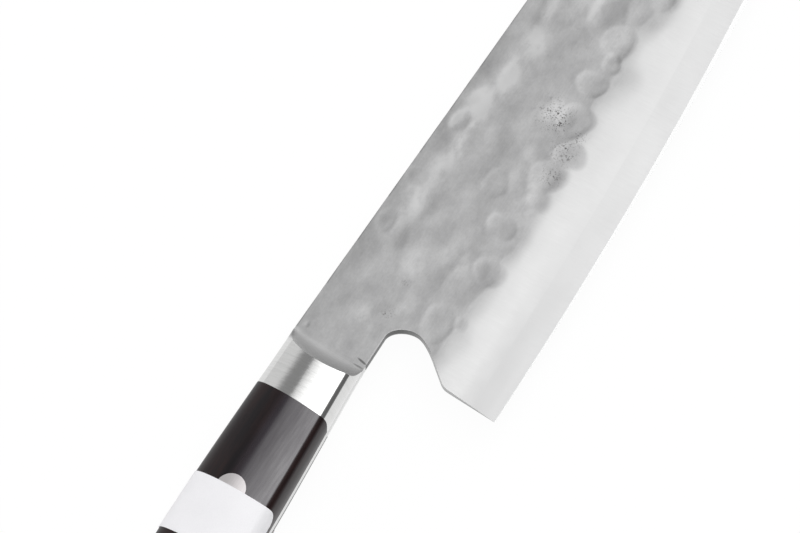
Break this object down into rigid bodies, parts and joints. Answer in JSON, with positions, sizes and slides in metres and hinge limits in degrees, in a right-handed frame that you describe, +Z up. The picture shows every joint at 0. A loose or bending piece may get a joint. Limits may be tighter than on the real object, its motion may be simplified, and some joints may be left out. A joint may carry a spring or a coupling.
{
  "type": "santoku knife",
  "caption": "Kitchen knife with a tall hammered three-layer blade, a finger notch at the heel, a steel bolster and a riveted black wood handle.",
  "frame": {"origin": "under the middle of the knife's box, on the surface that it lies on with its left side down", "axes": "+X from the butt to the tip, +Y from the cutting edge to the spine, +Z up out of the right face"},
  "size_m": [0.2958, 0.0518, 0.0186],
  "materials": {
    "core_steel": "fine ground bevel with scratches across the edge",
    "cladding_steel": "hammered, satin",
    "bolster_steel": "polished, with a brushed hollow ramp",
    "handle_wood": "black resin-filled laminated wood, buffed",
    "rivet_metal": "ground flush, satin",
    "band_paper": "bare coated paper"
  },
  "bodies": {
    "root": {"core_steel": "core_steel", "cladding_right": "cladding_steel", "cladding_left": "cladding_steel", "bolster_right": "bolster_steel", "bolster_left": "bolster_steel", "handle_scale_right": "handle_wood", "handle_scale_left": "handle_wood", "rivet_front_shank": "rivet_metal", "rivet_front_socket": "rivet_metal", "rivet_middle_shank": "rivet_metal", "rivet_middle_socket": "rivet_metal", "rivet_rear_shank": "rivet_metal", "rivet_rear_socket": "rivet_metal", "paper_band": "band_paper"}
  },
  "joints": []
}
